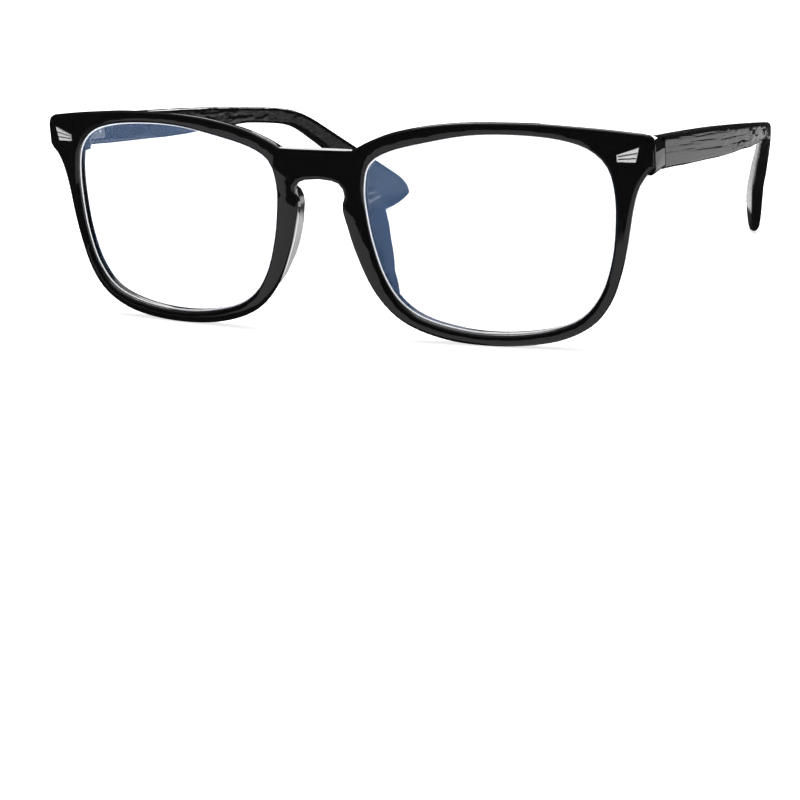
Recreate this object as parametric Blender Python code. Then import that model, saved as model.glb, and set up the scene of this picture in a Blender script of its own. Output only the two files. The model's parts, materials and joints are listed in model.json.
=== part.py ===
"""Full-rim blue light glasses, temples open, resting on a table.

The front lies in its own upright frame: X runs across the face, Y runs back towards the wearer's
ears and Z runs up. All dimensions below are millimetres in that frame, and every mesh is written
in metres. The whole assembly hangs on one empty that tips it until the two rim bottoms and the two
temple tails stand on the plane z = 0.
"""
from math import atan2, ceil, cos, hypot, pi, radians, sin, sqrt, tan

import bmesh
import bpy
from mathutils import Matrix, Vector

MM = 0.001

# Front: half outline from the middle of the bridge's top edge, by way of the endpiece, to the
# middle of the bridge's underside. Each run is one smooth curve and the runs meet in corners.
BRIDGE_TOP = [(0.0, 41.1), (4.4, 41.1), (8.8, 41.1)]
BROW = [(8.8, 41.1), (11.6, 42.6), (17.6, 44.9), (25.8, 46.6), (34.0, 47.4), (42.0, 47.5),
        (50.0, 47.3), (58.2, 46.6), (63.9, 46.0), (70.4, 45.1)]
ENDPIECE_CORNER = [(70.4, 45.1), (71.9, 44.3), (72.5, 42.7)]
ENDPIECE_SIDE = [(72.5, 42.7), (72.5, 38.2)]
ENDPIECE_CHAMFER = [(72.5, 38.2), (71.1, 37.0)]
RIM_AND_NOSE = [(71.1, 37.0), (69.2, 33.9), (67.9, 29.0), (66.9, 22.6), (65.5, 16.4), (63.3, 10.2),
                (59.6, 5.3), (53.7, 2.0), (46.5, 0.4), (38.0, -0.1), (29.2, 0.5), (21.2, 2.6),
                (15.6, 5.9), (11.1, 11.4), (7.8, 18.9), (6.0, 25.2), (5.3, 28.6), (6.0, 31.2),
                (5.4, 32.9), (3.8, 34.0), (0.0, 34.4)]
APERTURE = [(16.7, 40.9), (11.8, 37.9), (10.3, 32.6), (10.6, 27.0), (11.7, 20.7), (13.9, 13.8),
            (17.4, 8.4), (22.9, 4.9), (32.0, 2.8), (41.0, 2.5), (50.0, 3.7), (56.9, 6.4),
            (61.2, 11.6), (63.5, 18.5), (64.4, 25.5), (64.4, 32.7), (63.0, 38.3), (59.1, 42.1),
            (52.7, 44.1), (44.0, 44.9), (35.0, 44.7), (26.0, 43.2)]
OUTLINE_STEP = 1.6
APERTURE_STEP = 1.9
BASE_RADIUS = 520.0
WRAP_DEPTH = 2.3
WRAP_REACH = 70.0

RIM_DEPTH = 3.8
FRONT_ROUND = 0.9
BACK_ROUND = 0.4
WALL_DRAFT = 0.8
APERTURE_BEVEL = 0.6
GROOVE_MIDDLE = 2.0
GROOVE_HALF_WIDTH = 0.8
GROOVE_DEPTH = 0.62

# Endpiece lug behind each end of the front, with the pocket for the hinge.
LUG_OUTLINE = [(64.8, 43.9), (69.9, 43.8), (71.5, 43.3), (72.3, 42.2), (72.45, 40.8), (72.45, 37.6),
               (71.5, 36.4), (64.8, 36.4)]
LUG_START = 8.65
LUG_END = 14.6
JOINT_CHAMFER = 0.25
POCKET_FACE = 12.6
CHEEK_INNER = 70.3

# Lens
LENS_HALF_THICKNESS = 0.6
LENS_EDGE_GAP = 0.08
LENS_TONGUE = 0.48
LENS_BULGE = 0.9
LENS_RINGS = 5

# Nose pads, bonded to the back of the rim beside the nose.
PAD_TOP = 32.2
PAD_BOTTOM = 8.0
PAD_FLARE = radians(20.0)
PAD_REACHES = [(0.0, 1.2), (0.15, 3.9), (0.4, 6.6), (0.6, 7.5), (0.75, 7.4), (0.9, 6.2), (1.0, 2.8)]
PAD_BASE_WIDTH = 2.0
PAD_TIP_WIDTH = 1.7
PAD_INSET = 1.5
PAD_STATIONS = 16
PAD_ORIGIN = (10.0, 3.8, 19.0)
BOND_GAP = 0.05

# Hinge
AXIS_X = 68.7
AXIS_Y = 14.8
KNUCKLE_RADIUS = 1.25
BORE_RADIUS = 0.8
SCREW_RADIUS = 0.7
KNUCKLE_HEIGHT = 1.85
KNUCKLE_GAP = 0.1
HINGE_BOTTOM = 36.95
LEAF_GAP = 0.05
FRONT_LEAF_THICKNESS = 0.7
FRONT_LEAF_INNER = 65.0
FRONT_LEAF_OUTER = 69.9
TEMPLE_LEAF_INNER = 68.2
TEMPLE_LEAF_OUTER = 69.0
TEMPLE_LEAF_START = 16.7
TEMPLE_LEAF_END = 24.0
TEMPLE_LEAF_HEIGHT = 4.4
TEMPLE_LEAF_DROP = 3.3
LEAF_SEAT_MARGIN = 0.1
RIVET_RADIUS = 0.6
RIVET_HEAD_RADIUS = 0.9
RIVET_HEAD_HEIGHT = 0.3
RIVET_CLEARANCE = 0.1
FRONT_RIVET_X = 66.3
FRONT_RIVET_REACH = 1.75
FRONT_RIVET_LENGTH = 2.9
TEMPLE_RIVET_Y = (19.0, 22.2)
TEMPLE_RIVET_LENGTH = 2.3
SCREW_HEAD_RADIUS = 1.15
SCREW_HEAD_HEIGHT = 0.5

# Accent plaque let into the front of each endpiece.
PLAQUE = [(69.6, 42.4), (65.1, 40.95), (65.15, 39.6), (68.9, 39.45)]
PLAQUE_CENTRE = (67.2, 40.7)
PLAQUE_DEPTH = 0.35
PLAQUE_RISE = 0.25
PLAQUE_GAP = 0.07
PEG_RADIUS = 0.5
PEG_LENGTH = 1.5
PEG_PLACES = ((66.1, 40.3), (68.4, 40.8))
PLAQUE_GROOVES = (((64.0, 40.05), (71.0, 40.3)), ((64.0, 40.45), (71.0, 41.55)))
PLAQUE_GROOVE_WIDTH = 0.3
PLAQUE_GROOVE_DEPTH = 0.22

# Temples. The path is the outer top edge, measured along its length from the joint.
TEMPLE_OUTER = 72.35
TEMPLE_TOP = 43.3
TEMPLE_START = 14.8
TEMPLE_LENGTH = 151.0
TEMPLE_PITCH = radians(7.35)
TEMPLE_ARCH = radians(3.35)
TAIL_PITCH = radians(35.1)
BEND_START = 89.5
BEND_LENGTH = 23.2
TAIL_YAW = radians(23.2)
CURL_START = 52.4
CURL_LENGTH = 72.4
SQUARE_LENGTH = 8.0
TEMPLE_HEIGHTS = [(0.0, 6.9), (16.0, 7.0), (42.0, 6.8), (62.0, 5.7), (82.0, 4.1), (98.0, 4.2),
                  (112.0, 5.2), (124.0, 6.6), (138.0, 13.7), (151.0, 13.7)]
TEMPLE_WIDTHS = [(0.0, 3.4), (30.0, 3.4), (60.0, 3.0), (90.0, 2.8), (125.0, 3.2), (151.0, 2.8)]
TIP_START = 138.4
TIP_ROUND = 2.4
TIP_NARROW = 1.3
TIP_NARROW_START = 122.0
TIP_OUTER_SHARE = 0.75
TEMPLE_CORNER = 0.9
TAIL_CORNER = 1.35
TEMPLE_STATIONS = [0.0, 0.25, 4.0, 8.0, 14.0, 20.0, 30.0, 40.0, 50.0, 58.0, 65.0, 71.0, 76.0, 80.0,
                   84.0, 88.0, 91.0, 94.0, 97.0, 100.0, 103.0, 106.0, 109.0, 112.0, 115.0, 118.0,
                   121.0, 124.0, 127.0, 130.0, 132.5, 135.0, 137.5, 140.0, 142.5, 145.0, 147.0,
                   148.5, 149.6, 150.3, 150.7, 150.9]
HINGE_CUT_BACK = 16.5
LEAF_SEAT = 69.05
LEAF_SEAT_END = 24.2


def clear_scene():
    for thing in list(bpy.data.objects):
        bpy.data.objects.remove(thing, do_unlink=True)


def material(name, colour, roughness, metallic=0.0, transmission=0.0):
    mat = bpy.data.materials.new(name)
    mat.use_nodes = True
    shader = mat.node_tree.nodes["Principled BSDF"]
    shader.inputs["Base Color"].default_value = (*colour, 1.0)
    shader.inputs["Roughness"].default_value = roughness
    shader.inputs["Metallic"].default_value = metallic
    shader.inputs["Transmission Weight"].default_value = transmission
    mat.diffuse_color = (*colour, 1.0)
    return mat


# ---- curves ---------------------------------------------------------------------------------

def spline(points, closed=False, steps=12):
    """A Catmull-Rom curve through the points, as a dense list."""
    count = len(points)
    spans = count if closed else count - 1
    dense = []
    for i in range(spans):
        if closed:
            p0, p1, p2, p3 = (points[(i + k) % count] for k in (-1, 0, 1, 2))
        else:
            p1, p2 = points[i], points[i + 1]
            p0 = points[i - 1] if i > 0 else mirror_end(p1, p2)
            p3 = points[i + 2] if i + 2 < count else mirror_end(p2, p1)
        for k in range(steps):
            t = k / steps
            dense.append(tuple(0.5 * (2 * b + (c - a) * t + (2 * a - 5 * b + 4 * c - d) * t ** 2
                                      + (3 * b - a - 3 * c + d) * t ** 3)
                               for a, b, c, d in zip(p0, p1, p2, p3)))
    if not closed:
        dense.append(tuple(points[-1]))
    return dense


def mirror_end(end, neighbour):
    return tuple(2 * e - n for e, n in zip(end, neighbour))


def even_steps(dense, step, closed=False):
    """Points spaced evenly along a dense curve, its two ends kept."""
    line = dense + [dense[0]] if closed else dense
    lengths = [0.0]
    for a, b in zip(line, line[1:]):
        lengths.append(lengths[-1] + hypot(b[0] - a[0], b[1] - a[1]))
    count = max(1, ceil(lengths[-1] / step))
    result = []
    place = 0
    for k in range(count if closed else count + 1):
        target = lengths[-1] * k / count
        while place < len(lengths) - 2 and lengths[place + 1] < target:
            place += 1
        span = lengths[place + 1] - lengths[place]
        t = (target - lengths[place]) / span if span else 0.0
        a, b = line[place], line[place + 1]
        result.append((a[0] + (b[0] - a[0]) * t, a[1] + (b[1] - a[1]) * t))
    return result


def value_at(knots, place):
    """Smooth value at a place from a list of (place, value) knots."""
    for (a, value_a), (b, value_b) in zip(knots, knots[1:]):
        if place <= b:
            return value_a + (value_b - value_a) * ease((place - a) / (b - a))
    return knots[-1][1]


def ease(t):
    t = min(1.0, max(0.0, t))
    return t * t * (3 - 2 * t)


def front_outline():
    half = []
    runs = (BRIDGE_TOP, BROW, ENDPIECE_CORNER, ENDPIECE_SIDE, ENDPIECE_CHAMFER, RIM_AND_NOSE)
    for run in runs:
        short = run in (ENDPIECE_CORNER, ENDPIECE_CHAMFER)
        points = even_steps(spline(run), OUTLINE_STEP / 2 if short else OUTLINE_STEP)
        half.extend(points if not half else points[1:])
    other = [(-x, z) for x, z in reversed(half)]
    return half + other[1:-1]


def aperture_outline(side):
    loop = even_steps(spline(APERTURE, closed=True), APERTURE_STEP, closed=True)
    return [(side * x, z) for x, z in loop]


def offset_loop(loop, distance):
    """The closed loop moved outwards by the distance (inwards when it is negative)."""
    count = len(loop)
    area = sum(loop[i - 1][0] * loop[i][1] - loop[i][0] * loop[i - 1][1] for i in range(count))
    turn = 1.0 if area > 0 else -1.0
    moved = []
    for i, (x, z) in enumerate(loop):
        before, after = loop[i - 1], loop[(i + 1) % count]
        n1 = unit(z - before[1], before[0] - x)
        n2 = unit(after[1] - z, x - after[0])
        nx, nz = unit(n1[0] + n2[0], n1[1] + n2[1])
        mitre = min(1.5, 1.0 / max(0.3, nx * n1[0] + nz * n1[1]))
        moved.append((x + turn * nx * distance * mitre, z + turn * nz * distance * mitre))
    return moved


def unit(x, z):
    length = hypot(x, z)
    return x / length, z / length


def face_depth(x):
    """How far back the front's outer face lies at the distance x from the middle."""
    return x * x / (2 * BASE_RADIUS) + WRAP_DEPTH * (abs(x) / WRAP_REACH) ** 4


def face_slope(x):
    return x / BASE_RADIUS + 4 * WRAP_DEPTH * abs(x) ** 3 / WRAP_REACH ** 4


# ---- mesh helpers ---------------------------------------------------------------------------

def ring_strip(bm, rings):
    """Quads between neighbouring rings of vertices, all of them closed."""
    for lower, upper in zip(rings, rings[1:]):
        count = len(lower)
        for i in range(count):
            j = (i + 1) % count
            bm.faces.new((lower[i], lower[j], upper[j], upper[i]))


def profile_rings(bm, loop, profile):
    """One ring of vertices for each (outward offset, depth) pair of the profile."""
    rings = []
    for outward, depth in profile:
        rings.append([bm.verts.new((x, depth, z)) for x, z in offset_loop(loop, outward)])
    return rings


def ring_edges(bm, ring):
    return [bm.edges.get((ring[i - 1], ring[i])) for i in range(len(ring))]


def wall_profile():
    """(outward offset, depth) pairs of the front's outer wall: a rounded face edge, a wall that
    draws in towards the back, and a small round on the back edge."""
    pairs = []
    for k in range(4):
        angle = pi / 2 * k / 3
        pairs.append((-FRONT_ROUND * (1 - sin(angle)), FRONT_ROUND * (1 - cos(angle))))
    for k in range(3):
        angle = pi / 2 * k / 2
        pairs.append((-WALL_DRAFT - BACK_ROUND * (1 - cos(angle)),
                      RIM_DEPTH - BACK_ROUND * (1 - sin(angle))))
    return pairs


def finish(bm, name, mat, origin=(0.0, 0.0, 0.0), parent=None, side=1, smooth=True):
    """Turns a bmesh in millimetres into an object with its origin at the given point."""
    if side < 0:
        bmesh.ops.scale(bm, vec=(-1.0, 1.0, 1.0), verts=bm.verts)
        origin = (-origin[0], origin[1], origin[2])
    bmesh.ops.translate(bm, vec=-Vector(origin), verts=bm.verts)
    bmesh.ops.scale(bm, vec=(MM, MM, MM), verts=bm.verts)
    bmesh.ops.recalc_face_normals(bm, faces=bm.faces)
    mesh = bpy.data.meshes.new(name)
    for face in bm.faces:
        face.smooth = smooth
    bm.to_mesh(mesh)
    bm.free()
    thing = bpy.data.objects.new(name, mesh)
    bpy.context.scene.collection.objects.link(thing)
    if mat:
        mesh.materials.append(mat)
    local = Vector(origin) * MM
    if parent:
        thing.parent = parent
        local = local - Vector(parent["place"])
    thing.location = local
    return thing


def empty(name, place, parent=None):
    thing = bpy.data.objects.new(name, None)
    bpy.context.scene.collection.objects.link(thing)
    thing["place"] = [c * MM for c in place]
    local = Vector(place) * MM
    if parent:
        thing.parent = parent
        local = local - Vector(parent["place"])
    thing.location = local
    return thing


def prism(bm, outline, axis, start, end):
    """A closed solid with the outline (two coordinates) swept along the axis (0, 1 or 2)."""
    def corner(a, b, along):
        point = [a, b]
        point.insert(axis, along)
        return bm.verts.new(point)
    first = [corner(a, b, start) for a, b in outline]
    last = [corner(a, b, end) for a, b in outline]
    bm.faces.new(first)
    bm.faces.new(list(reversed(last)))
    ring_strip(bm, [first, last])
    return first + last


def box_outline(a0, a1, b0, b1):
    return [(a0, b0), (a1, b0), (a1, b1), (a0, b1)]


def circle_outline(a, b, radius, sides=24):
    return [(a + radius * cos(2 * pi * (k + 0.5) / sides), b + radius * sin(2 * pi * (k + 0.5) / sides))
            for k in range(sides)]


def lathe(bm, profile, centre, direction, sides=14):
    """A turned solid: (radius, height) pairs spun round a line, both ends on the axis."""
    turn = Vector((0, 0, 1)).rotation_difference(Vector(direction)).to_matrix()
    ends = []
    rings = []
    for radius, height in profile:
        if radius == 0:
            ends.append(bm.verts.new(turn @ Vector((0, 0, height)) + Vector(centre)))
            continue
        ring = []
        for k in range(sides):
            angle = 2 * pi * k / sides
            local = Vector((radius * cos(angle), radius * sin(angle), height))
            ring.append(bm.verts.new(turn @ local + Vector(centre)))
        rings.append(ring)
    ring_strip(bm, rings)
    for end, ring in zip(ends, (rings[0], rings[-1])):
        for k in range(sides):
            bm.faces.new((end, ring[k - 1], ring[k]))


def boolean(thing, tool, operation):
    modifier = thing.modifiers.new(operation.lower() + "_" + tool.name, "BOOLEAN")
    modifier.operation = operation
    modifier.solver = "EXACT"
    modifier.object = tool
    tool.hide_render = True
    tool.display_type = "WIRE"


def tool_object(name, parent, builder, side=1):
    bm = bmesh.new()
    builder(bm)
    return finish(bm, name, None, parent=parent, side=side)


# ---- front ----------------------------------------------------------------------------------

def build_front(parent, mat):
    bm = bmesh.new()
    outer = profile_rings(bm, front_outline(), wall_profile())
    ring_strip(bm, outer)
    aperture_profile = [(APERTURE_BEVEL, 0.0), (0.0, APERTURE_BEVEL),
                        (0.0, GROOVE_MIDDLE - GROOVE_HALF_WIDTH), (GROOVE_DEPTH, GROOVE_MIDDLE),
                        (0.0, GROOVE_MIDDLE + GROOVE_HALF_WIDTH), (0.0, RIM_DEPTH - BACK_ROUND),
                        (BACK_ROUND, RIM_DEPTH)]
    fronts = ring_edges(bm, outer[0])
    backs = ring_edges(bm, outer[-1])
    for side in (1, -1):
        rings = profile_rings(bm, aperture_outline(side), aperture_profile)
        ring_strip(bm, rings)
        fronts += ring_edges(bm, rings[0])
        backs += ring_edges(bm, rings[-1])
    for edges in (fronts, backs):
        bmesh.ops.triangle_fill(bm, use_beauty=True, use_dissolve=False, edges=edges,
                                normal=(0.0, -1.0, 0.0))
    for vert in bm.verts:
        vert.co.y += face_depth(vert.co.x)
    front = finish(bm, "front_frame", mat, parent=parent)
    for side, label in ((1, "right"), (-1, "left")):
        lug = tool_object("lug_" + label, parent, lug_solid, side)
        boolean(front, lug, "UNION")
        pocket = tool_object("hinge_pocket_" + label, parent, hinge_pocket, side)
        boolean(front, pocket, "DIFFERENCE")
        for builder in (front_rivet_holes, plaque_recess, peg_holes):
            tool = tool_object(builder.__name__ + "_" + label, parent, builder, side)
            boolean(front, tool, "DIFFERENCE")
    return front


def lug_solid(bm):
    rings = profile_rings(bm, LUG_OUTLINE, [(0.0, LUG_START), (0.0, LUG_END - JOINT_CHAMFER),
                                            (-JOINT_CHAMFER, LUG_END)])
    ring_strip(bm, rings)
    bm.faces.new(rings[0])
    bm.faces.new(list(reversed(rings[-1])))


def hinge_pocket(bm):
    prism(bm, box_outline(60.0, CHEEK_INNER, 30.0, 50.0), 1, POCKET_FACE, LUG_END + 2.0)


def front_rivet_holes(bm):
    """Blind holes for the leaf's rivets."""
    for z in front_rivet_heights():
        prism(bm, circle_outline(FRONT_RIVET_X, z, RIVET_RADIUS + RIVET_CLEARANCE, 16), 1,
              POCKET_FACE - FRONT_RIVET_LENGTH, POCKET_FACE + 1.0)


def plaque_recess(bm):
    grown = offset_loop(PLAQUE, PLAQUE_GAP)
    lean_onto_face(prism(bm, grown, 1, -2.0, PLAQUE_DEPTH + PLAQUE_GAP))


def peg_holes(bm):
    for place in PEG_PLACES:
        hole = prism(bm, circle_outline(*place, PEG_RADIUS + PLAQUE_GAP, 16), 1, 0.2,
                     PLAQUE_DEPTH + PEG_LENGTH + 2 * PLAQUE_GAP)
        lean_onto_face(hole)


def lean_onto_face(verts):
    """Turns things made flat at depth 0 so that they follow the face at the plaque."""
    x0, z0 = PLAQUE_CENTRE
    pivot = Vector((x0, 0.0, z0))
    turn = Matrix.Rotation(atan2(face_slope(x0), 1.0), 3, "Z")
    for vert in verts:
        vert.co = turn @ (vert.co - pivot) + pivot + Vector((0.0, face_depth(x0), 0.0))


def build_plaque(parent, mat, side, label):
    bm = bmesh.new()
    plate = prism(bm, PLAQUE, 1, -PLAQUE_RISE, PLAQUE_DEPTH)
    lean_onto_face(plate)
    x, z = PLAQUE_CENTRE
    plaque = finish(bm, "accent_plaque_" + label, mat, (x, face_depth(x), z), parent, side,
                    smooth=False)
    for number, place in enumerate(PEG_PLACES):
        def peg(bm, place=place):
            lean_onto_face(prism(bm, circle_outline(*place, PEG_RADIUS, 16), 1, 0.1,
                                 PLAQUE_DEPTH + PEG_LENGTH))
        boolean(plaque, tool_object("peg_%s_%d" % (label, number), parent, peg, side), "UNION")
    for number, (inner, outer) in enumerate(PLAQUE_GROOVES):
        def groove(bm, inner=inner, outer=outer):
            half = PLAQUE_GROOVE_WIDTH / 2
            outline = [(inner[0], inner[1] - half), (outer[0], outer[1] - half),
                       (outer[0], outer[1] + half), (inner[0], inner[1] + half)]
            lean_onto_face(prism(bm, outline, 1, -1.0, PLAQUE_GROOVE_DEPTH - PLAQUE_RISE))
        boolean(plaque, tool_object("groove_%s_%d" % (label, number), parent, groove, side),
                "DIFFERENCE")
    return plaque


# ---- lens -----------------------------------------------------------------------------------

def build_lens(parent, mat, side, label):
    """A plano lens: domed, of even thickness, with a tongue round its edge for the groove."""
    bm = bmesh.new()
    rim = aperture_outline(1)
    centre = (sum(x for x, z in rim) / len(rim), sum(z for x, z in rim) / len(rim))
    edge = offset_loop(rim, -LENS_EDGE_GAP)
    tongue = offset_loop(rim, LENS_TONGUE)

    def surface_ring(share, depth):
        ring = []
        for x, z in edge:
            px = centre[0] + share * (x - centre[0])
            pz = centre[1] + share * (z - centre[1])
            ring.append(bm.verts.new((px, depth - LENS_BULGE * (1 - share ** 2), pz)))
        return ring

    rings = []
    for k in range(1, LENS_RINGS + 1):
        rings.append(surface_ring(k / LENS_RINGS, GROOVE_MIDDLE - LENS_HALF_THICKNESS))
    rings.append([bm.verts.new((x, GROOVE_MIDDLE, z)) for x, z in tongue])
    for k in range(LENS_RINGS, 0, -1):
        rings.append(surface_ring(k / LENS_RINGS, GROOVE_MIDDLE + LENS_HALF_THICKNESS))
    ring_strip(bm, rings)
    for ring, half in ((rings[0], -LENS_HALF_THICKNESS), (rings[-1], LENS_HALF_THICKNESS)):
        middle = bm.verts.new((centre[0], GROOVE_MIDDLE + half - LENS_BULGE, centre[1]))
        for k in range(len(ring)):
            bm.faces.new((middle, ring[k - 1], ring[k]))
    for vert in bm.verts:
        vert.co.y += face_depth(vert.co.x)
    return finish(bm, "lens_" + label, mat, (centre[0], face_depth(centre[0]), centre[1]), parent, side)


# ---- nose pads ------------------------------------------------------------------------------

def nose_edge(z):
    """Half width of the nose gap at the height z, on the front's outline."""
    line = spline(RIM_AND_NOSE)
    for (xa, za), (xb, zb) in zip(line, line[1:]):
        if xa < 20.0 and xb < 20.0 and za <= z <= zb:
            return xa + (xb - xa) * (z - za) / (zb - za)
    return line[-1][0]


def build_pad(parent, mat, side, label):
    bm = bmesh.new()
    rings = []
    for k in range(PAD_STATIONS + 1):
        turn = pi * k / PAD_STATIONS
        share = (1 + cos(turn)) / 2
        z = PAD_BOTTOM + (PAD_TOP - PAD_BOTTOM) * share
        reach = value_at(PAD_REACHES, share)
        swell = max(0.16, sin(turn)) ** 0.55
        base_x = nose_edge(z) + PAD_INSET
        rings.append([bm.verts.new((x, y, z)) for x, y in pad_section(base_x, reach, swell, share)])
    ring_strip(bm, rings)
    bm.faces.new(rings[0])
    bm.faces.new(list(reversed(rings[-1])))
    return finish(bm, "nose_pad_" + label, mat, PAD_ORIGIN, parent, side)


def pad_section(base_x, reach, swell, share):
    """Section of a pad: a flat foot on the rim, a blade flared more towards the top, a round edge."""
    foot = PAD_BASE_WIDTH * (0.6 + 0.4 * swell)
    tip = PAD_TIP_WIDTH * (0.5 + 0.5 * swell)
    points = []
    for x in (base_x + foot, base_x + foot / 2, base_x):
        points.append((x, face_depth(x) + RIM_DEPTH + BOND_GAP))
    lean = tan(PAD_FLARE * share)
    radius = tip / 2
    y0 = points[-1][1] + reach - radius
    x0 = base_x + (reach - radius) * lean + radius
    for k in range(7):
        angle = pi + pi * -k / 6
        points.append((x0 + radius * cos(angle), y0 + radius * sin(angle)))
    return points


# ---- temples --------------------------------------------------------------------------------

def temple_angles(place):
    """Fall and inward turn of the top edge: a slightly arched run, the ear bend, the inward curl."""
    run = TEMPLE_PITCH + TEMPLE_ARCH * min(1.0, place / BEND_START)
    pitch = run + (TAIL_PITCH - run) * ease((place - BEND_START) / BEND_LENGTH)
    return pitch, TAIL_YAW * ease((place - CURL_START) / CURL_LENGTH)


def temple_path(step=0.5):
    """The outer top edge: (place, point) pairs from the joint to the tip."""
    point = Vector((TEMPLE_OUTER, TEMPLE_START, TEMPLE_TOP))
    pairs = [(0.0, point.copy())]
    count = round(TEMPLE_LENGTH / step)
    for k in range(count):
        pitch, yaw = temple_angles((k + 0.5) * step)
        point += step * Vector((-sin(yaw) * cos(pitch), cos(yaw) * cos(pitch), -sin(pitch)))
        pairs.append(((k + 1) * step, point.copy()))
    return pairs


def path_point(pairs, place):
    for (a, point_a), (b, point_b) in zip(pairs, pairs[1:]):
        if place <= b:
            return point_a.lerp(point_b, (place - a) / (b - a))
    return pairs[-1][1]


def temple_section(place):
    """Width, height, drop of the top edge and inset of the outer face at a place along the temple."""
    narrow = TIP_NARROW * ease((place - TIP_NARROW_START) / (TEMPLE_LENGTH - TIP_NARROW_START))
    width = value_at(TEMPLE_WIDTHS, place) - narrow
    height = value_at(TEMPLE_HEIGHTS, place)
    tip = max(0.0, (place - TIP_START) / (TEMPLE_LENGTH - TIP_START))
    share = (1 - tip ** 1.6) ** 0.75
    drop = TIP_ROUND * tip ** 5
    bottom = TIP_ROUND + (height - TIP_ROUND) * share
    return width * (0.35 + 0.65 * sqrt(share)), bottom - drop, drop, TIP_OUTER_SHARE * narrow


def rounded_rectangle(width, height, corner):
    """(across, up) pairs from the outer top edge: across and up run negative into the section."""
    points = []
    centres = ((-corner, -corner), (corner - width, -corner),
               (corner - width, corner - height), (-corner, corner - height))
    for number, (centre_a, centre_b) in enumerate(centres):
        start = number * pi / 2
        for k in range(5):
            angle = start + pi / 2 * k / 4
            points.append((centre_a + corner * cos(angle), centre_b + corner * sin(angle)))
    return points


def build_temple(parent, mat, side, label):
    bm = bmesh.new()
    pairs = temple_path()
    rings = []
    for place in TEMPLE_STATIONS:
        point = path_point(pairs, place)
        pitch, yaw = temple_angles(place)
        lean = pitch * ease((place - SQUARE_LENGTH) / 10.0)
        across = Vector((cos(yaw), sin(yaw), 0.0))
        up = Vector((-sin(yaw) * sin(lean), cos(yaw) * sin(lean), cos(lean)))
        width, height, drop, inward = temple_section(place)
        round_up = ease((place - BEND_START) / BEND_LENGTH)
        corner = TEMPLE_CORNER + (TAIL_CORNER - TEMPLE_CORNER) * round_up
        corner = min(corner, 0.46 * width, 0.46 * height)
        inset = JOINT_CHAMFER if place == 0.0 else 0.0
        section = rounded_rectangle(width - 2 * inset, height - 2 * inset, corner)
        rings.append([bm.verts.new(point + across * (a - inset - inward) + up * (b - inset - drop))
                      for a, b in section])
    ring_strip(bm, rings)
    bm.faces.new(rings[0])
    bm.faces.new(list(reversed(rings[-1])))
    temple = finish(bm, "temple_" + label, mat, (AXIS_X, AXIS_Y, TEMPLE_TOP), parent, side)
    boolean(temple, tool_object("temple_cut_" + label, parent, temple_cut, side), "DIFFERENCE")
    boolean(temple, tool_object("leaf_seat_" + label, parent, leaf_seat, side), "DIFFERENCE")
    boolean(temple, tool_object("temple_holes_" + label, parent, temple_holes, side), "DIFFERENCE")
    return temple


def temple_cut(bm):
    prism(bm, box_outline(60.0, CHEEK_INNER, TEMPLE_START - 2.0, HINGE_CUT_BACK), 2, 30.0, 50.0)


def leaf_line(y):
    """Height of the temple leaf's centre line, which runs along the temple."""
    return TEMPLE_TOP - TEMPLE_LEAF_DROP - (y - TEMPLE_START) * tan(TEMPLE_PITCH)


def leaf_seat(bm):
    half = TEMPLE_LEAF_HEIGHT / 2 + LEAF_SEAT_MARGIN
    start = HINGE_CUT_BACK - 1.0
    outline = [(start, leaf_line(start) - half), (LEAF_SEAT_END, leaf_line(LEAF_SEAT_END) - half),
               (LEAF_SEAT_END, leaf_line(LEAF_SEAT_END) + half), (start, leaf_line(start) + half)]
    prism(bm, outline, 0, 60.0, LEAF_SEAT)


def temple_holes(bm):
    for y in TEMPLE_RIVET_Y:
        prism(bm, circle_outline(y, leaf_line(y), RIVET_RADIUS + RIVET_CLEARANCE, 16), 0,
              LEAF_SEAT - 1.0, TEMPLE_LEAF_INNER + TEMPLE_RIVET_LENGTH + 0.2)


# ---- hinge ----------------------------------------------------------------------------------

def hinge_middle():
    return HINGE_BOTTOM + 1.5 * KNUCKLE_HEIGHT + KNUCKLE_GAP


def hinge_top():
    return HINGE_BOTTOM + 3 * KNUCKLE_HEIGHT + 2 * KNUCKLE_GAP


def knuckle_span(number):
    start = HINGE_BOTTOM + number * (KNUCKLE_HEIGHT + KNUCKLE_GAP)
    return start, start + KNUCKLE_HEIGHT


def front_rivet_heights():
    return hinge_middle() - FRONT_RIVET_REACH, hinge_middle() + FRONT_RIVET_REACH


def bore(bm):
    prism(bm, circle_outline(AXIS_X, AXIS_Y, BORE_RADIUS, 24), 2, HINGE_BOTTOM - 1.0, hinge_top() + 1.0)


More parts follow.
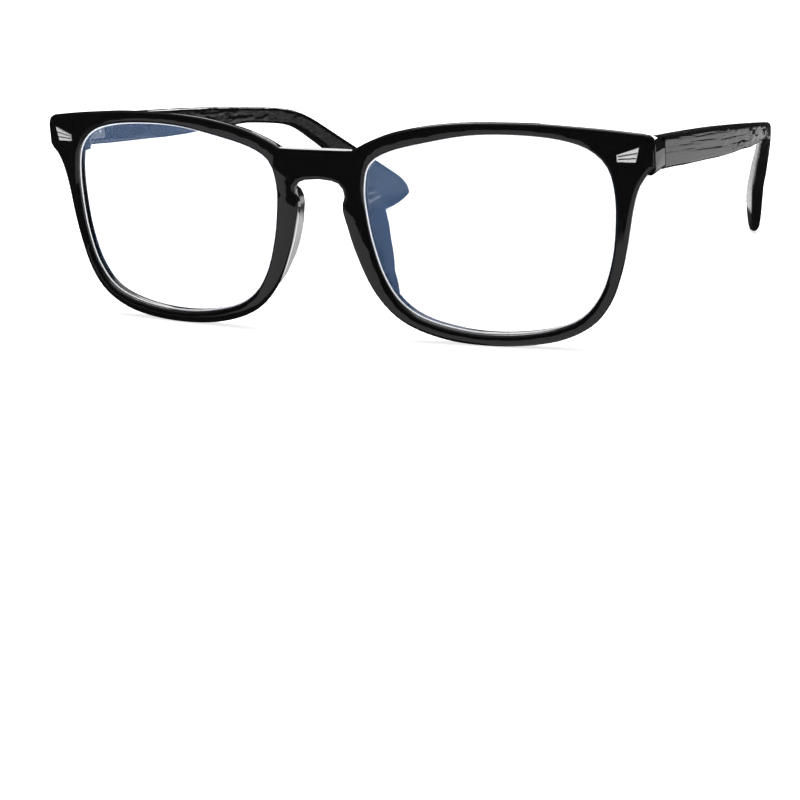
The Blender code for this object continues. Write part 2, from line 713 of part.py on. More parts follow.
def build_front_leaf(parent, mat, side, label):
    """Plate on the lug's pocket face, with the upper and the lower knuckle."""
    bottom = POCKET_FACE + LEAF_GAP
    top = bottom + FRONT_LEAF_THICKNESS
    bm = bmesh.new()
    prism(bm, box_outline(FRONT_LEAF_INNER, FRONT_LEAF_OUTER, HINGE_BOTTOM, hinge_top()), 1, bottom, top)
    leaf = finish(bm, "front_hinge_leaf_" + label, mat, (FRONT_LEAF_INNER, bottom, HINGE_BOTTOM),
                  parent, side, smooth=False)
    for number in (0, 2):
        def knuckle(bm, number=number):
            arc = [(AXIS_X + KNUCKLE_RADIUS * cos(pi * k / 12), AXIS_Y + KNUCKLE_RADIUS * sin(pi * k / 12))
                   for k in range(13)]
            outline = [(AXIS_X + KNUCKLE_RADIUS, bottom + 0.2)] + arc
            outline += [(AXIS_X - KNUCKLE_RADIUS, bottom + 0.2)]
            prism(bm, outline, 2, *knuckle_span(number))
        boolean(leaf, tool_object("knuckle_%s_%d" % (label, number), parent, knuckle, side), "UNION")
    boolean(leaf, tool_object("front_bore_" + label, parent, bore, side), "DIFFERENCE")

    def holes(bm):
        for z in front_rivet_heights():
            prism(bm, circle_outline(FRONT_RIVET_X, z, RIVET_RADIUS + RIVET_CLEARANCE, 16), 1,
                  bottom - 1.0, top + 1.0)
    boolean(leaf, tool_object("front_leaf_holes_" + label, parent, holes, side), "DIFFERENCE")
    return leaf


def build_temple_leaf(parent, mat, side, label):
    """T-shaped plate on the temple's inner side, with the middle knuckle."""
    low, high = knuckle_span(1)
    half = TEMPLE_LEAF_HEIGHT / 2
    neck = AXIS_Y + KNUCKLE_RADIUS - 0.3
    start = TEMPLE_LEAF_START
    end = TEMPLE_LEAF_END
    outline = [(neck, low), (start, low), (start, leaf_line(start) - half),
               (end, leaf_line(end) - half), (end, leaf_line(end) + half),
               (start, leaf_line(start) + half), (start, high), (neck, high)]
    bm = bmesh.new()
    prism(bm, outline, 0, TEMPLE_LEAF_INNER, TEMPLE_LEAF_OUTER)
    leaf = finish(bm, "temple_hinge_leaf_" + label, mat, (AXIS_X, AXIS_Y, hinge_middle()), parent, side,
                  smooth=False)

    def knuckle(bm):
        prism(bm, circle_outline(AXIS_X, AXIS_Y, KNUCKLE_RADIUS, 24), 2, low, high)

    def holes(bm):
        for y in TEMPLE_RIVET_Y:
            prism(bm, circle_outline(y, leaf_line(y), RIVET_RADIUS + RIVET_CLEARANCE, 16), 0,
                  TEMPLE_LEAF_INNER - 1.0, TEMPLE_LEAF_OUTER + 1.0)
    boolean(leaf, tool_object("middle_knuckle_" + label, parent, knuckle, side), "UNION")
    boolean(leaf, tool_object("temple_bore_" + label, parent, bore, side), "DIFFERENCE")
    boolean(leaf, tool_object("temple_leaf_holes_" + label, parent, holes, side), "DIFFERENCE")
    return leaf


def rivet_profile(length):
    head = RIVET_HEAD_HEIGHT
    return [(0, -length), (RIVET_RADIUS, -length), (RIVET_RADIUS, 0.0), (RIVET_HEAD_RADIUS, 0.0),
            (RIVET_HEAD_RADIUS, 0.3 * head), (0.75 * RIVET_HEAD_RADIUS, 0.75 * head),
            (0.35 * RIVET_HEAD_RADIUS, head), (0, head)]


def build_rivets(front_parent, temple_parent, mat, side, label):
    head_y = POCKET_FACE + 2 * LEAF_GAP + FRONT_LEAF_THICKNESS
    for name, z in zip(("lower", "upper"), front_rivet_heights()):
        bm = bmesh.new()
        place = (FRONT_RIVET_X, head_y, z)
        lathe(bm, rivet_profile(FRONT_RIVET_LENGTH), place, (0, 1, 0))
        finish(bm, "front_rivet_%s_%s" % (name, label), mat, place, front_parent, side)
    for name, y in zip(("near", "far"), TEMPLE_RIVET_Y):
        bm = bmesh.new()
        place = (TEMPLE_LEAF_INNER - LEAF_GAP, y, leaf_line(y))
        lathe(bm, rivet_profile(TEMPLE_RIVET_LENGTH), place, (-1, 0, 0))
        finish(bm, "temple_rivet_%s_%s" % (name, label), mat, place, temple_parent, side)


def build_screw(parent, mat, side, label):
    seat = hinge_top() + LEAF_GAP
    head = SCREW_HEAD_HEIGHT
    profile = [(0, HINGE_BOTTOM - 0.3), (SCREW_RADIUS - 0.15, HINGE_BOTTOM - 0.3),
               (SCREW_RADIUS, HINGE_BOTTOM - 0.15), (SCREW_RADIUS, seat), (SCREW_HEAD_RADIUS, seat),
               (SCREW_HEAD_RADIUS, seat + 0.6 * head), (0.7 * SCREW_HEAD_RADIUS, seat + head),
               (0, seat + head)]
    bm = bmesh.new()
    lathe(bm, profile, (AXIS_X, AXIS_Y, 0.0), (0, 0, 1))
    screw = finish(bm, "hinge_screw_" + label, mat, (AXIS_X, AXIS_Y, seat), parent, side)

    def slot(bm):
        prism(bm, box_outline(AXIS_X - 2.0, AXIS_X + 2.0, AXIS_Y - 0.17, AXIS_Y + 0.17), 2,
              seat + head - 0.3, seat + head + 1.0)
    boolean(screw, tool_object("screw_slot_" + label, parent, slot, side), "DIFFERENCE")
    return screw


# ---- assembly -------------------------------------------------------------------------------

def rest_on_table(root):
    """Tips the assembly until rim bottoms and tails both stand on z = 0, and centres it."""
    bpy.context.view_layer.update()
    rim = []
    tails = []
    for name in ("front_frame", "temple_right"):
        thing = bpy.data.objects[name]
        points = [thing.matrix_world @ vert.co for vert in thing.data.vertices]
        (rim if name == "front_frame" else tails).extend((p.y, p.z) for p in points)
    tilt = 0.0
    for _ in range(4):
        y0, z0 = min(rim, key=lambda p: p[1] * cos(tilt) - p[0] * sin(tilt))
        tilt = min(atan2(z - z0, y - y0) for y, z in tails if y > 100.0 * MM)
    root.rotation_euler = (-tilt, 0.0, 0.0)
    bpy.context.view_layer.update()
    lows = []
    depths = []
    for thing in bpy.data.objects:
        if thing.type == "MESH" and not thing.hide_render:
            for vert in thing.data.vertices:
                point = thing.matrix_world @ vert.co
                lows.append(point.z)
                depths.append(point.y)
    root.location = (0.0, -(min(depths) + max(depths)) / 2, -min(lows))


def main():
    clear_scene()
    plastic = material("black_gloss_plastic", (0.008, 0.008, 0.010), 0.12)
    pad_plastic = material("black_pad_plastic", (0.012, 0.012, 0.014), 0.2)
    steel = material("hinge_steel", (0.55, 0.55, 0.57), 0.3, metallic=1.0)
    silver = material("accent_silver", (0.78, 0.79, 0.80), 0.22, metallic=1.0)
    coated = material("blue_coated_lens", (0.80, 0.86, 0.95), 0.03, transmission=1.0)
    root = empty("resting_pose", (0.0, 0.0, 0.0))
    build_front(root, plastic)
    for side, label in ((1, "right"), (-1, "left")):
        axis = empty("hinge_axis_" + label, (side * AXIS_X, AXIS_Y, hinge_middle()), root)
        build_lens(root, coated, side, label)
        build_pad(root, pad_plastic, side, label)
        build_plaque(root, silver, side, label)
        build_temple(axis, plastic, side, label)
        build_front_leaf(root, steel, side, label)
        build_temple_leaf(axis, steel, side, label)
        build_rivets(root, axis, steel, side, label)
        build_screw(root, steel, side, label)
    rest_on_table(root)
    bpy.context.view_layer.update()


main()
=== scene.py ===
import json
from math import asin, cos, hypot, pi, radians, sin

import bpy
from mathutils import Matrix, Vector


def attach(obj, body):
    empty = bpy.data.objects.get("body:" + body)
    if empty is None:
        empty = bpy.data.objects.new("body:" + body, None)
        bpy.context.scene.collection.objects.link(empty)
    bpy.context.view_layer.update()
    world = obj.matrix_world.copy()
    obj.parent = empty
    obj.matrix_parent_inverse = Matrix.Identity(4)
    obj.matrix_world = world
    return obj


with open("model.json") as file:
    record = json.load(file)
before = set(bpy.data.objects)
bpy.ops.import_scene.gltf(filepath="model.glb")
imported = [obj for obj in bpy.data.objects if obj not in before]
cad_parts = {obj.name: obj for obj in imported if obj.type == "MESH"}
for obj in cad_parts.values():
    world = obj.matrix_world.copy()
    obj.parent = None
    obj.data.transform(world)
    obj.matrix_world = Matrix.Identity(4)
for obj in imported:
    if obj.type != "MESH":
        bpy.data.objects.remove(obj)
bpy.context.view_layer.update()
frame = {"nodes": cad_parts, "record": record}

# Visual model of the black pair of blue light glasses. The moulded and metal parts are the CAD nodes
# with even shading and full materials. The pieces added here are the lens edges, white and faintly
# glowing as a painted highlight, the polished flat along the bridge and the dark fill in the plaques'
# cut lines, which is painted shade.

MM = 0.001
WHITE = (1, 1, 1, 1)

# ---- camera -----------------------------------------------------------------

# The origin lies DISTANCE in front of the camera, and OFFSET to the right of and above the middle
# of its view.
AZIMUTH, ELEVATION, ROLL = radians(25.7589), radians(15.4695), radians(-1.9913)
DISTANCE = 0.51783
OFFSET = (0.015807, 0.032835)
LENS = 94.065
SENSOR = 36.0


def add_camera():
    back = Vector((sin(AZIMUTH) * cos(ELEVATION), -cos(AZIMUTH) * cos(ELEVATION), sin(ELEVATION)))
    right = Vector((cos(AZIMUTH), sin(AZIMUTH), 0.0))
    up = back.cross(right)
    across = cos(ROLL) * right + sin(ROLL) * up
    upward = -sin(ROLL) * right + cos(ROLL) * up
    place = DISTANCE * back - OFFSET[0] * across - OFFSET[1] * upward
    data = bpy.data.cameras.new("camera")
    data.lens = LENS
    data.sensor_width = SENSOR
    camera = bpy.data.objects.new("camera", data)
    bpy.context.scene.collection.objects.link(camera)
    matrix = Matrix((across, upward, back)).transposed().to_4x4()
    matrix.translation = place
    camera.matrix_world = matrix
    bpy.context.scene.camera = camera


# ---- world, floor, lights ---------------------------------------------------

WORLD_LOW = 0.03
WORLD_HIGH = 0.55
WORLD_RISE = (0.55, 0.95)
FLOOR_REACH = 4.0
FLOOR_GREY = 0.92
FLOOR_GLOW = 0.8
CARD_LIFT = 0.0004

# name, place, target, size and radiance; the last lamp lights only the gloss
LAMPS = (("overhead", (0.05, 0.15, 1.2), (0, 0, 0), (0.9, 0.8), 4.0),
         ("line_lamp", (-0.56, 0.27, 1.2), (0, 0, 0), (0.3, 0.35), 14.0),
         ("rim_lamp", (-0.19, 1.04, 0.53), (0, 0, 0.04), (0.36, 0.16), 7.0))
GLOSS_LAMP = "rim_lamp"

# name, x from and to, y from and to, radiance, and turn about Z in degrees
CARDS = (("front_card", -0.115, 0.275, -0.1416, -0.065, 0.8, 11.0),
         ("side_card", 0.075, 0.35, 0.04, 0.27, 0.8, 0.0),
         ("tail_card", -0.04, 0.042, 0.06, 0.21, 0.9, 0.0),
         ("pad_card", 0.077, 0.12, -0.025, 0.02, 3.0, 0.0),
         ("middle_card", -0.06, 0.06, -0.05, 0.03, 1.6, 0.0))


def add_world():
    """Dark round the sides and below, soft white overhead, so gloss shows the lamps."""
    world = bpy.data.worlds.new("studio")
    bpy.context.scene.world = world
    world.use_nodes = True
    nodes = world.node_tree.nodes
    links = world.node_tree.links
    nodes.clear()
    out = nodes.new("ShaderNodeOutputWorld")
    background = nodes.new("ShaderNodeBackground")
    coord = nodes.new("ShaderNodeTexCoord")
    split = nodes.new("ShaderNodeSeparateXYZ")
    links.new(coord.outputs["Generated"], split.inputs[0])
    ramp = nodes.new("ShaderNodeMapRange")
    ramp.inputs["From Min"].default_value = WORLD_RISE[0]
    ramp.inputs["From Max"].default_value = WORLD_RISE[1]
    ramp.inputs["To Min"].default_value = WORLD_LOW
    ramp.inputs["To Max"].default_value = WORLD_HIGH
    links.new(split.outputs["Z"], ramp.inputs["Value"])
    links.new(ramp.outputs["Result"], background.inputs["Strength"])
    background.inputs["Color"].default_value = WHITE
    links.new(background.outputs[0], out.inputs[0])


def add_floor():
    """The white table top, which the gloss doesn't see."""
    mesh = bpy.data.meshes.new("floor")
    r = FLOOR_REACH
    mesh.from_pydata([(-r, -r, 0), (r, -r, 0), (r, r, 0), (-r, r, 0)], [], [(0, 1, 2, 3)])
    floor = bpy.data.objects.new("floor", mesh)
    bpy.context.scene.collection.objects.link(floor)
    mat = bpy.data.materials.new("floor")
    mat.use_nodes = True
    shader = mat.node_tree.nodes["Principled BSDF"]
    shader.inputs["Base Color"].default_value = (FLOOR_GREY, FLOOR_GREY, FLOOR_GREY, 1)
    shader.inputs["Roughness"].default_value = 0.9
    shader.inputs["Specular IOR Level"].default_value = 0.0
    shader.inputs["Emission Color"].default_value = WHITE
    shader.inputs["Emission Strength"].default_value = FLOOR_GLOW
    mesh.materials.append(mat)
    floor.visible_glossy = False


def area_light(name, place, target, size, radiance):
    """A rectangular lamp of the given brightness, unseen by the camera itself."""
    data = bpy.data.lights.new(name, "AREA")
    data.shape = "RECTANGLE"
    data.size, data.size_y = size
    data.energy = radiance * pi * size[0] * size[1]
    lamp = bpy.data.objects.new(name, data)
    bpy.context.scene.collection.objects.link(lamp)
    lamp.location = place
    lamp.rotation_euler = (Vector(target) - Vector(place)).to_track_quat("-Z", "Y").to_euler()
    lamp.visible_camera = False
    return lamp


def card(name, x0, x1, y0, y1, radiance, turn):
    """A lit card lying on the table, which only the gloss sees."""
    middle = ((x0 + x1) / 2, (y0 + y1) / 2, CARD_LIFT)
    lamp = area_light(name, middle, (middle[0], middle[1], 1.0), (x1 - x0, y1 - y0), radiance)
    lamp.rotation_euler = (pi, 0.0, radians(turn))
    lamp.visible_diffuse = False


def add_lights():
    for row in LAMPS:
        lamp = area_light(*row)
        lamp.visible_diffuse = lamp.name != GLOSS_LAMP
    for row in CARDS:
        card(*row)


# ---- shading of the CAD nodes -------------------------------------------------

JOIN_DISTANCE = 1e-6
FACE_WEIGHT = 80


def even_shading_group():
    """Joins the split faces and shades smooth across every edge flatter than the limit."""
    group = bpy.data.node_groups.new("even_shading", "GeometryNodeTree")
    face = group.interface
    face.new_socket("Geometry", in_out="INPUT", socket_type="NodeSocketGeometry")
    face.new_socket("Limit", in_out="INPUT", socket_type="NodeSocketFloat")
    face.new_socket("Geometry", in_out="OUTPUT", socket_type="NodeSocketGeometry")
    nodes = group.nodes
    links = group.links
    start = nodes.new("NodeGroupInput")
    end = nodes.new("NodeGroupOutput")
    drop = nodes.new("GeometryNodeRemoveAttribute")
    drop.inputs["Name"].default_value = "custom_normal"
    merge = nodes.new("GeometryNodeMergeByDistance")
    merge.inputs["Distance"].default_value = JOIN_DISTANCE
    faces = nodes.new("GeometryNodeSetShadeSmooth")
    edges = nodes.new("GeometryNodeSetShadeSmooth")
    edges.domain = "EDGE"
    angle = nodes.new("GeometryNodeInputMeshEdgeAngle")
    below = nodes.new("FunctionNodeCompare")
    below.operation = "LESS_THAN"
    links.new(start.outputs["Geometry"], drop.inputs["Geometry"])
    links.new(drop.outputs[0], merge.inputs["Geometry"])
    links.new(merge.outputs[0], faces.inputs["Geometry"])
    links.new(faces.outputs[0], edges.inputs["Geometry"])
    links.new(angle.outputs["Unsigned Angle"], below.inputs[0])
    links.new(start.outputs["Limit"], below.inputs[1])
    links.new(below.outputs["Result"], edges.inputs["Shade Smooth"])
    links.new(edges.outputs[0], end.inputs["Geometry"])
    return group


def even_shading(thing, group, limit):
    """Puts the shading group and weighted normals on one CAD node. The limit is in degrees."""
    modifier = thing.modifiers.new("even_shading", "NODES")
    modifier.node_group = group
    limit_id = next(i.identifier for i in group.interface.items_tree if i.name == "Limit")
    modifier[limit_id] = radians(limit)
    weighted = thing.modifiers.new("weighted_normals", "WEIGHTED_NORMAL")
    weighted.keep_sharp = True
    weighted.weight = FACE_WEIGHT


# ---- materials ---------------------------------------------------------------

NOISE_MIDDLE = 0.5
NOISE_SPAN = (0.3, 0.7)
NOISE_UPPER = (0.35, 0.7)
PLASTIC_BLACK = (0.0035, 0.0035, 0.004)
PLASTIC_IOR = 1.46
HAIRLINE = 0.012


class Surface:
    """A Principled material with helpers for the patterns that drive it."""

    def __init__(self, name, colour, roughness, **values):
        self.material = bpy.data.materials.new(name)
        self.material.use_nodes = True
        self.nodes = self.material.node_tree.nodes
        self.links = self.material.node_tree.links
        self.shader = self.nodes["Principled BSDF"]
        self.shader.inputs["Base Color"].default_value = (*colour, 1)
        self.shader.inputs["Roughness"].default_value = roughness
        for key, value in values.items():
            self.shader.inputs[key.replace("_", " ")].default_value = value

    def noise(self, scale, stretch=(1, 1, 1), detail=3.0, lean=0.0):
        """Noise in the piece's own coordinates, scale in cells per metre. A stretch below 1 draws the
        cells out along that axis, and lean tips the pattern about X by so many degrees."""
        coord = self.nodes.new("ShaderNodeTexCoord")
        mapping = self.nodes.new("ShaderNodeMapping")
        mapping.vector_type = "TEXTURE"
        mapping.inputs["Scale"].default_value = [1.0 / k for k in stretch]
        mapping.inputs["Rotation"].default_value = (-radians(lean), 0.0, 0.0)
        texture = self.nodes.new("ShaderNodeTexNoise")
        texture.inputs["Scale"].default_value = scale
        texture.inputs["Detail"].default_value = detail
        self.links.new(coord.outputs["Object"], mapping.inputs["Vector"])
        self.links.new(mapping.outputs["Vector"], texture.inputs["Vector"])
        return texture.outputs["Fac"]

    def spread(self, value, low, high, to_low, to_high):
        """The value carried from the range low to high over to the range to_low to to_high."""
        ramp = self.nodes.new("ShaderNodeMapRange")
        ramp.inputs["From Min"].default_value = low
        ramp.inputs["From Max"].default_value = high
        ramp.inputs["To Min"].default_value = to_low
        ramp.inputs["To Max"].default_value = to_high
        self.links.new(value, ramp.inputs["Value"])
        return ramp.outputs["Result"]

    def scratches(self, scale, stretch, thin):
        """Thin lines: 1 on a hairline, 0 elsewhere."""
        value = self.noise(scale, stretch, detail=1.0)
        away = self.nodes.new("ShaderNodeMath")
        away.operation = "SUBTRACT"
        away.inputs[1].default_value = NOISE_MIDDLE
        self.links.new(value, away.inputs[0])
        size = self.nodes.new("ShaderNodeMath")
        size.operation = "ABSOLUTE"
        self.links.new(away.outputs[0], size.inputs[0])
        return self.spread(size.outputs[0], 0.0, thin, 1.0, 0.0)

    def add(self, a, b, factor):
        """a + b * factor."""
        node = self.nodes.new("ShaderNodeMath")
        node.operation = "MULTIPLY_ADD"
        node.inputs[1].default_value = factor
        self.links.new(b, node.inputs[0])
        self.links.new(a, node.inputs[2])
        return node.outputs[0]

    def multiply(self, a, b):
        node = self.nodes.new("ShaderNodeMath")
        node.operation = "MULTIPLY"
        self.links.new(a, node.inputs[0])
        self.links.new(b, node.inputs[1])
        return node.outputs[0]

    def growth(self, value, start, length):
        """exp((value - start) / length)."""
        scaled = self.nodes.new("ShaderNodeMath")
        scaled.operation = "MULTIPLY_ADD"
        scaled.inputs[1].default_value = 1.0 / length
        scaled.inputs[2].default_value = -start / length
        self.links.new(value, scaled.inputs[0])
        power = self.nodes.new("ShaderNodeMath")
        power.operation = "EXPONENT"
        self.links.new(scaled.outputs[0], power.inputs[0])
        return power.outputs[0]

    def blend(self, factor, low, high):
        """A colour that runs from low to high with the factor."""
        node = self.nodes.new("ShaderNodeMix")
        node.data_type = "RGBA"
        node.inputs[6].default_value = (*low, 1)
        node.inputs[7].default_value = (*high, 1)
        self.links.new(factor, node.inputs[0])
        return node.outputs[2]

    def place(self):
        """The piece's own X, Y and Z, in metres."""
        coord = self.nodes.new("ShaderNodeTexCoord")
        split = self.nodes.new("ShaderNodeSeparateXYZ")
        self.links.new(coord.outputs["Object"], split.inputs[0])
        return split.outputs

    def bump(self, height, strength, distance):
        node = self.nodes.new("ShaderNodeBump")
        node.inputs["Strength"].default_value = strength
        node.inputs["Distance"].default_value = distance
        self.links.new(height, node.inputs["Height"])
        self.links.new(node.outputs["Normal"], self.shader.inputs["Normal"])

    def drive(self, socket, value):
        self.links.new(value, self.shader.inputs[socket])


def front_plastic():
    """Polished black: faint moulding waves, hairlines from cleaning, a little haze."""
    s = Surface("front_plastic", PLASTIC_BLACK, 0.08, IOR=PLASTIC_IOR)
    haze = s.spread(s.noise(60, detail=4.0), *NOISE_UPPER, 0.02, 0.05)
    s.drive("Roughness", s.add(haze, s.scratches(240, (1, 0.6, 0.25), HAIRLINE), 0.10))
    s.bump(s.noise(140, detail=2.0), 0.2, 0.00002)
    return s.material


# Fall of the temple's run in degrees, and where along Y the blotches at the bend set in and end
TEMPLE_FALL = 6.2
BLOTCH_START = (-0.025, 0.0)
BLOTCH_END = (0.025, 0.042)
BLOTCH_SHARE = 1.2


def temple_plastic():
    """The same plastic with long flow streaks along the temple and blotches at the bend."""
    s = Surface("temple_plastic", PLASTIC_BLACK, 0.1, IOR=PLASTIC_IOR)
    streaks = s.noise(1100, (1.0, 0.03, 1.0), detail=2.0, lean=TEMPLE_FALL)
    haze = s.spread(streaks, *NOISE_UPPER, 0.05, 0.2)
    s.drive("Roughness", s.add(haze, s.scratches(300, (1, 0.12, 1), HAIRLINE), 0.12))
    cells = s.noise(420, (1.0, 0.4, 1.0), detail=1.0, lean=TEMPLE_FALL)
    blotches = s.spread(cells, 0.45, 0.65, 0.0, 1.0)
    along = s.place()["Y"]
    sets_in = s.spread(along, *BLOTCH_START, 0.0, 1.0)
    ends = s.spread(along, *BLOTCH_END, 1.0, 0.0)
    at_bend = s.multiply(blotches, s.multiply(sets_in, ends))
    s.bump(s.add(streaks, at_bend, BLOTCH_SHARE), 1.0, 0.00011)
    return s.material


def pad_plastic():
    """The pads' black, slightly softer than the front's."""
    s = Surface("pad_plastic", (0.005, 0.005, 0.006), 0.14, IOR=PLASTIC_IOR)
    s.drive("Roughness", s.spread(s.noise(220, detail=4.0), *NOISE_SPAN, 0.1, 0.24))
    s.bump(s.noise(700, detail=3.0), 0.25, 0.00003)
    return s.material


def silver_metal():
    """Plated plaque with fine polishing lines, and a faint painted glow that lightens it."""
    # The emission is painted light: a faint white glow brightens the plaque.
    s = Surface("plated_silver", (0.92, 0.92, 0.91), 0.3, Metallic=0.45, Emission_Strength=0.1)
    s.shader.inputs["Emission Color"].default_value = WHITE
    lines = s.noise(4200, (0.15, 1, 1), detail=2.0)
    s.drive("Roughness", s.spread(lines, *NOISE_SPAN, 0.2, 0.45))
    s.bump(lines, 0.3, 0.00002)
    return s.material


def groove_shade():
    """Painted shade for the plaques' cut lines: flat black with a dry grain."""
    s = Surface("groove_shade", (0.012, 0.012, 0.014), 0.5)
    s.drive("Roughness", s.spread(s.noise(2000, detail=3.0), *NOISE_SPAN, 0.4, 0.65))
    s.bump(s.noise(3000, detail=2.0), 0.3, 0.00001)
    return s.material


def steel_metal():
    """Plain steel with turning marks."""
    s = Surface("hinge_steel", (0.42, 0.42, 0.44), 0.3, Metallic=1.0)
    turned = s.noise(2400, (1, 1, 0.2), detail=3.0)
    s.drive("Roughness", s.spread(turned, *NOISE_SPAN, 0.2, 0.42))
    s.bump(turned, 0.3, 0.00002)
    return s.material


# The blue turns to black, as painted shade from the rim, where exp((x - 64.46 mm) / 9.485 mm) +
# exp((2.18 mm - z) / 7.403 mm), which is 1 along the lens's outer and lower edge, passes through the
# last of the ranges below.
# The coat's blue is painted reflection, laid into the base colour.
COAT_REFLECTION_BLUE = (0.3, 0.53, 1.0)
RIM_SHADE_SIDE = (0.06446, 0.009485)
RIM_SHADE_BOTTOM = (0.00218, -0.007403)
RIM_SHADE_RANGE = (0.875, 0.9)


def lens_plastic():
    """Clear lens whose coat's blue reflection is painted into the base colour, with the faint marks
    of wiping. Near the lens's outer and lower edge the blue turns black, painted shade from the rim."""
    s = Surface("coated_lens", COAT_REFLECTION_BLUE, 0.03, Alpha=0.115)
    place = s.place()
    across = s.nodes.new("ShaderNodeMath")
    across.operation = "ABSOLUTE"
    s.links.new(place["X"], across.inputs[0])
    side = s.growth(across.outputs[0], *RIM_SHADE_SIDE)
    edge = s.add(side, s.growth(place["Z"], *RIM_SHADE_BOTTOM), 1.0)
    # Base colour: the painted blue reflection, turned to black as painted shade near the outer and
    # lower edge.
    s.drive("Base Color", s.blend(s.spread(edge, *RIM_SHADE_RANGE, 1.0, 0.0), (0.0, 0.0, 0.0), COAT_REFLECTION_BLUE))
    s.drive("Roughness", s.spread(s.noise(45, (1, 1, 2.5), detail=5.0), 0.4, 0.75, 0.02, 0.08))
    return s.material


def painted_highlight():
    """Painted highlight on the edge where the lens seats in the groove: near-white with a faint glow.
    """
    s = Surface("lens_edge_highlight", (0.9, 0.92, 0.95), 0.2, Emission_Strength=0.3)
    s.shader.inputs["Emission Color"].default_value = WHITE
    s.drive("Roughness", s.spread(s.noise(900, detail=3.0), *NOISE_SPAN, 0.12, 0.35))
    s.bump(s.noise(1600, detail=2.0), 0.2, 0.00001)
    return s.material


# ---- added pieces --------------------------------------------------------------

# The front is upright and in millimetres here. The fold joint gives its tilt and its place on the
# table, because the hinge's middle is at HINGE_Y and HINGE_Z on the upright front.
HINGE_Y, HINGE_Z = 14.8, 39.825
FOLD = frame["record"]["behaviour"]["joints"][0]
TILT = asin(-FOLD["axis"][1])
ROOT_Y = FOLD["pos_m"][1] - (HINGE_Y * cos(TILT) - HINGE_Z * sin(TILT)) * MM
ROOT_Z = FOLD["pos_m"][2] - (HINGE_Y * sin(TILT) + HINGE_Z * cos(TILT)) * MM
BASE_RADIUS = 520.0
WRAP_DEPTH, WRAP_REACH = 2.3, 70.0
LENS_SEAT = 1.3
EDGE_RADIUS = 0.16
EDGE_SIDES = 8
APERTURE = [(16.7, 40.9), (11.8, 37.9), (10.3, 32.6), (10.6, 27.0), (11.7, 20.7), (13.9, 13.8),
            (17.4, 8.4), (22.9, 4.9), (32.0, 2.8), (41.0, 2.5), (50.0, 3.7), (56.9, 6.4),
            (61.2, 11.6), (63.5, 18.5), (64.4, 25.5), (64.4, 32.7), (63.0, 38.3), (59.1, 42.1),
            (52.7, 44.1), (44.0, 44.9), (35.0, 44.7), (26.0, 43.2)]


def closed_curve(points, steps=6):
    """A closed Catmull-Rom curve through the points, as a dense list."""
    dense = []
    count = len(points)
    for i in range(count):
        p0, p1, p2, p3 = (points[(i + k) % count] for k in (-1, 0, 1, 2))
        for k in range(steps):
            t = k / steps
            dense.append(tuple(0.5 * (2 * b + (c - a) * t + (2 * a - 5 * b + 4 * c - d) * t ** 2
                                      + (3 * b - a - 3 * c + d) * t ** 3)
                               for a, b, c, d in zip(p0, p1, p2, p3)))
    return dense


def seated(x, y, z):
    """A point of the upright front, in millimetres, where the glasses rest on the table."""
    depth = y + x * x / (2 * BASE_RADIUS) + WRAP_DEPTH * (x / WRAP_REACH) ** 4
    return (x * MM, (depth * cos(TILT) - z * sin(TILT)) * MM + ROOT_Y,
            (depth * sin(TILT) + z * cos(TILT)) * MM + ROOT_Z)


def new_piece(name, points, faces, mat):
    """A mesh piece of the scene's own, in one material."""
    mesh = bpy.data.meshes.new(name)
    mesh.from_pydata(points, [], faces)
    mesh.materials.append(mat)
    piece = bpy.data.objects.new(name, mesh)
    bpy.context.scene.collection.objects.link(piece)
    return piece


def lens_edge_highlight(side, label, mat):
    """A round bead just inside the aperture wall, in front of the lens, white and glowing as a
    painted highlight.
    """
    curve = closed_curve(APERTURE)
    count = len(curve)
    points = []
    for i, (x, z) in enumerate(curve):
        before, after = curve[i - 1], curve[(i + 1) % count]
        run = hypot(after[0] - before[0], after[1] - before[1])
        inward = ((before[1] - after[1]) / run, (after[0] - before[0]) / run)
        for k in range(EDGE_SIDES):
            turn = 2 * pi * k / EDGE_SIDES
            out = EDGE_RADIUS * (1.0 + cos(turn))
            points.append(seated(side * (x + inward[0] * out), LENS_SEAT + EDGE_RADIUS * sin(turn),
                                 z + inward[1] * out))
    faces = []
    for i in range(count):
        this, following = i * EDGE_SIDES, ((i + 1) % count) * EDGE_SIDES
        for k in range(EDGE_SIDES):
            beside = (k + 1) % EDGE_SIDES
            corners = (this + k, this + beside, following + beside, following + k)
            faces.append(corners if side < 0 else corners[::-1])
    piece = new_piece("lens_edge_highlight_" + label, points, faces, mat)
    piece.data.shade_smooth()
    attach(piece, "front")


BEVEL_HALF = 8.6
BEVEL_MIDDLE = (0.4, 41.02)
BEVEL_LEAN = radians(30.0)
BEVEL_SIZE = (0.32, 0.12)
BEVEL_STATIONS = 13
BEVEL_NARROWING = 0.35


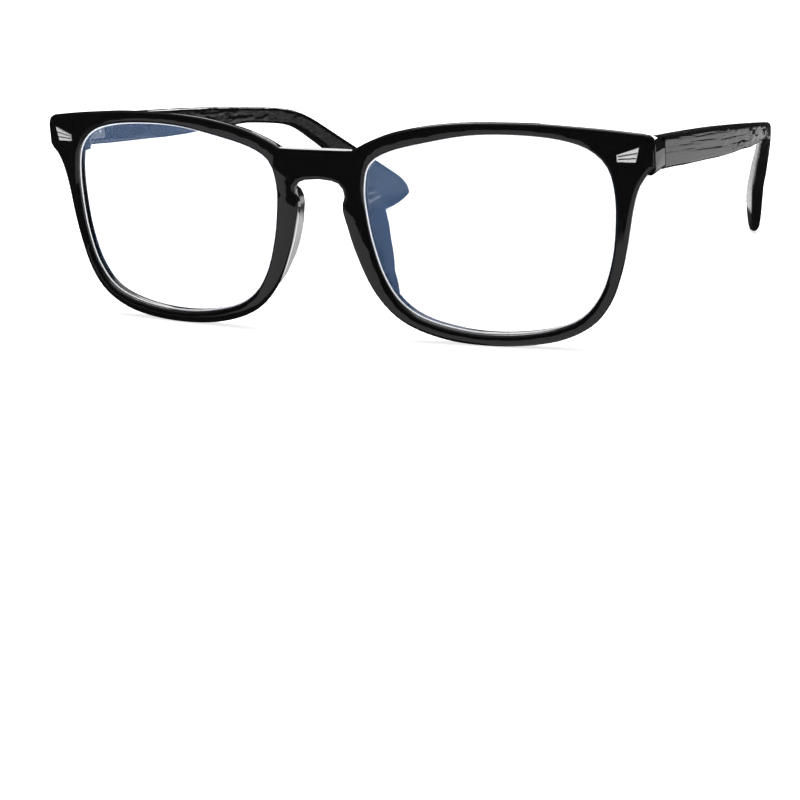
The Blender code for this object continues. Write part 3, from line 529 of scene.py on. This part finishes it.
def bridge_bevel(mat):
    """Narrow flat polished along the top front edge of the bridge."""
    y0, z0 = BEVEL_MIDDLE
    half, thick = BEVEL_SIZE
    slope = (cos(BEVEL_LEAN), sin(BEVEL_LEAN))
    normal = (-sin(BEVEL_LEAN), cos(BEVEL_LEAN))
    points = []
    for k in range(BEVEL_STATIONS):
        x = -BEVEL_HALF + 2 * BEVEL_HALF * k / (BEVEL_STATIONS - 1)
        narrow = half * (1.0 - BEVEL_NARROWING * (x / BEVEL_HALF) ** 6)
        for a, b in ((-1, 0.5), (1, 0.5), (1, -0.5), (-1, -0.5)):
            points.append(seated(x, y0 + a * narrow * slope[0] + b * thick * normal[0],
                                 z0 + a * narrow * slope[1] + b * thick * normal[1]))
    faces = [(0, 1, 2, 3), tuple(4 * BEVEL_STATIONS - 1 - k for k in range(4))]
    for i in range(BEVEL_STATIONS - 1):
        for k in range(4):
            a, b = 4 * i + k, 4 * i + (k + 1) % 4
            faces.append((a, a + 4, b + 4, b))
    piece = new_piece("bridge_bevel", points, faces, mat)
    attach(piece, "front")


GROOVE_LINES = {"lower": ((65.4, 40.1), (68.95, 40.227)), "upper": ((65.4, 40.67), (69.2, 41.267))}
GROOVE_FLOOR = -0.03
GROOVE_FILL = (0.12, 0.04)


def groove_fill(side, label, line, mat):
    """A dark strip lying in one cut line of a plaque, painted shade in the groove."""
    half, thick = GROOVE_FILL
    (xa, za), (xb, zb) = line
    run = hypot(xb - xa, zb - za)
    nx, nz = -(zb - za) / run * half, (xb - xa) / run * half
    corners = [(xa - nx, za - nz), (xb - nx, zb - nz), (xb + nx, zb + nz), (xa + nx, za + nz)]
    points = [seated(side * x, GROOVE_FLOOR - deep, z) for deep in (0.0, thick) for x, z in corners]
    faces = [(0, 1, 2, 3), (7, 6, 5, 4)]
    faces += [(k, k + 4, (k + 1) % 4 + 4, (k + 1) % 4) for k in range(4)]
    if side > 0:
        faces = [tuple(reversed(face)) for face in faces]
    piece = new_piece("groove_fill_" + label, points, faces, mat)
    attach(piece, "front")


# ---- assembly --------------------------------------------------------------------


def dress_nodes(front):
    """Gives each CAD node its material and its limit angle for smooth shading, in degrees."""
    group = even_shading_group()
    temple = temple_plastic()
    looks = {"lens": (lens_plastic(), 50), "nose_pad": (pad_plastic(), 50),
             "accent": (silver_metal(), 30), "front_frame": (front, 50),
             "temple_right": (temple, 40), "temple_left": (temple, 40)}
    plain = (steel_metal(), 40)
    for name, thing in frame["nodes"].items():
        mat, limit = next((look for kind, look in looks.items() if name.startswith(kind)), plain)
        for slot in thing.material_slots:
            slot.material = mat
        even_shading(thing, group, limit)


add_camera()
add_world()
add_floor()
add_lights()
bpy.context.scene.view_settings.view_transform = "Standard"
front = front_plastic()
dress_nodes(front)
bridge_bevel(front)
# The lens edges carry a painted highlight: near-white with a faint glow.
edge = painted_highlight()
lens_edge_highlight(1, "right", edge)
lens_edge_highlight(-1, "left", edge)
# The dark fill in the plaques' cut lines is painted shade.
groove_shade_mat = groove_shade()
for side, label in ((1, "right"), (-1, "left")):
    for height, line in GROOVE_LINES.items():
        groove_fill(side, height + "_" + label, line, groove_shade_mat)
